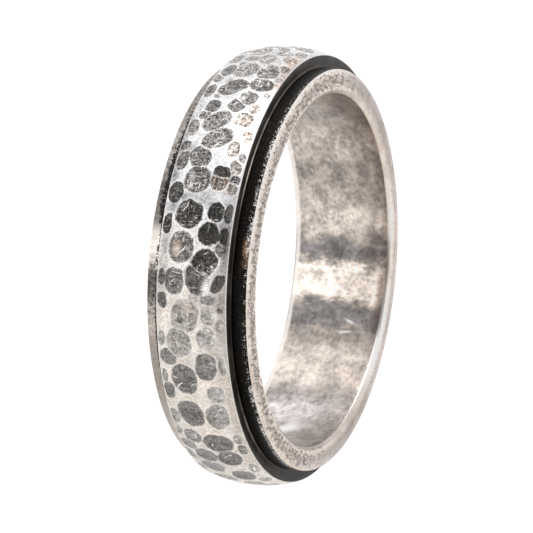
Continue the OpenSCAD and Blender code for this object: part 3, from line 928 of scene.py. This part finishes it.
def satin_hole():
    """The hole's wall: satin steel, cloudy and mottled, with painted reflections as light and dark
    lengths round it.
    """
    n = Nodes("satin_hole")
    height = n.axis("Z")
    turn = n.turn(0, 180)
    wall = n.place((1, 0.45, 1))
    ragged = n.noise(n.place((1, 0.45, 0.4)), 1.6, detail=4, roughness=0.6, seed=9)
    mottle = n.noise(wall, 1.1, detail=3, roughness=0.6, seed=14)
    soft = n.noise(wall, 4.2, detail=2, roughness=0.5, seed=10)
    # Painted reflections: the light and dark lengths round the hole.
    level = n.curve(n.sum(turn, n.span(ragged, 0.35, 0.65, -2, 2)), HOLE_PAINTED_REFLECTIONS)
    away = n.span(turn, 178, 160)
    # The brighter painted reflections are tinted cream.
    cream = n.times(n.times(n.span(level, 0.26, 0.4), n.span(turn, 38, 52)), away)
    colour = n.mix(cream, (1.02, 0.95, 0.93, 1), (1.07, 0.945, 0.85, 1))
    contrast = n.span(turn, 60, 90, 0.95, 1.2)
    cloudy = n.sum(n.span(mottle, 0.36, 0.64, -0.24, 0.2), n.span(soft, 0.32, 0.68, -0.15, 0.15))
    colour = n.scale(colour, n.times(level, n.sum(1, n.times(cloudy, contrast))))

    # Brown tarnish towards the front end, with a thin brown line beside the front lip.
    across = n.sum(height, n.span(ragged, 0.35, 0.65, -0.3, 0.3))
    tarnish = n.times(n.span(across, 3.9, 4.8, 0, 0.75), n.span(across, 5.5, 4.9, 0.1, 1))
    tarnish = n.times(tarnish, n.span(turn, 70, 110))
    brown_line = n.times(n.span(turn, 65, 76), n.span(turn, 98, 86, 0.3, 1))
    brown_line = n.times(n.span(height, 5.15, 5.6), brown_line)
    tarnish = n.times(n.most(tarnish, brown_line), away)
    colour = n.mix(n.times(tarnish, 0.6), colour, (0.16, 0.12, 0.1, 1))

    # The wall is lighter towards the end that the ring rests on, a painted highlight beside the back
    # lip, and pale strokes and painted highlights cross the wall.
    # Painted highlight beside the back lip.
    worn = n.span(n.sum(height, n.times(ragged, 0.2)), 0.55, 0.4, 0, 0.7)
    colour = n.mix(worn, colour, (1.02, 0.96, 0.92, 1))
    chart = n.add("CombineXYZ", {0: n.times(turn, HOLE_R * math.pi / 180), 1: height})
    chart = n.shake(chart, 0.04, 3, seed=15)
    for row in HOLE_STROKES_AND_HIGHLIGHTS:
        colour = n.mix(n.spot(chart, *row), colour, grey(0.96, 0.01))
    relief = n.bump(mottle, 0.1, 0.02)
    return n.finish(colour=colour, metal=1.0, rough=0.33, normal=relief)


oxide = black_oxide()

band = make_band()
for material in (hammered_steel(), oxide):
    band.data.materials.append(material)
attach(band, "band")
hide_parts("hammered_band")

sleeve = make_sleeve()
for material in (worn_rim(), satin_hole(), oxide):
    sleeve.data.materials.append(material)
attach(sleeve, "sleeve")
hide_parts("sleeve")


GROUND_SIZE = 6000


def make_floor():
    """A wide pale floor, at the height of the rim that the ring rests on."""
    half = mm(GROUND_SIZE / 2)
    mesh = bpy.data.meshes.new("floor")
    corners = [(-half, -half, 0), (half, -half, 0), (half, half, 0), (-half, half, 0)]
    mesh.from_pydata(corners, [], [(0, 1, 2, 3)])
    n = Nodes("pale_floor")
    pale = n.finish(colour=grey(0.1), metal=0.0, rough=0.9, glow_colour=grey(1.0), glow=1.0)
    mesh.materials.append(pale)
    add_object("floor", mesh)


def make_lamp(name, azimuth, elevation, away, size, watts, colour):
    """A square soft light in millimetres, which looks at the ring from that direction."""
    a, e = math.radians(azimuth), math.radians(elevation)
    back = Vector((math.cos(a) * math.cos(e), math.sin(a) * math.cos(e), math.sin(e)))
    data = bpy.data.lights.new(name, "AREA")
    data.size = mm(size)
    data.energy = watts
    data.color = colour
    turn = back.to_track_quat("Z", "Y").to_matrix().to_4x4()
    add_object(name, data).matrix_world = Matrix.Translation(mm(back * away)) @ turn


def make_world():
    """A soft tent: brighter and cooler on the -X side, warmer elsewhere, dimmer behind the camera."""
    world = bpy.data.worlds.new("studio")
    world.use_nodes = True
    tree = world.node_tree
    shade = tree.nodes["Background"]
    where = tree.nodes.new("ShaderNodeTexCoord")
    split = tree.nodes.new("ShaderNodeSeparateXYZ")
    tree.links.new(where.outputs["Generated"], split.inputs[0])

    def ramp(axis, low, high, colour_low, colour_high):
        node = tree.nodes.new("ShaderNodeMapRange")
        node.data_type = "FLOAT_VECTOR"
        node.interpolation_type = "SMOOTHSTEP"
        tree.links.new(split.outputs[axis], node.inputs["Vector"])
        ins = [i for i in node.inputs if i.enabled and i.type == "VECTOR"]
        ins[1].default_value, ins[2].default_value = (low,) * 3, (high,) * 3
        ins[3].default_value, ins[4].default_value = colour_low, colour_high
        return node.outputs["Vector"]

    across = ramp("X", -1, 1, (1.05, 1.05, 1.08), (0.88, 0.84, 0.8))
    back = ramp("Y", -1, 0, (0.6, 0.6, 0.6), (1, 1, 1))
    both = tree.nodes.new("ShaderNodeVectorMath")
    both.operation = "MULTIPLY"
    tree.links.new(across, both.inputs[0])
    tree.links.new(back, both.inputs[1])
    tree.links.new(both.outputs[0], shade.inputs["Color"])
    shade.inputs["Strength"].default_value = 0.85
    bpy.context.scene.world = world


make_floor()
make_world()
make_lamp("key", azimuth=192, elevation=14, away=350, size=160, watts=0.9, colour=(0.97, 0.98, 1))
bpy.context.scene.view_settings.view_transform = "Standard"
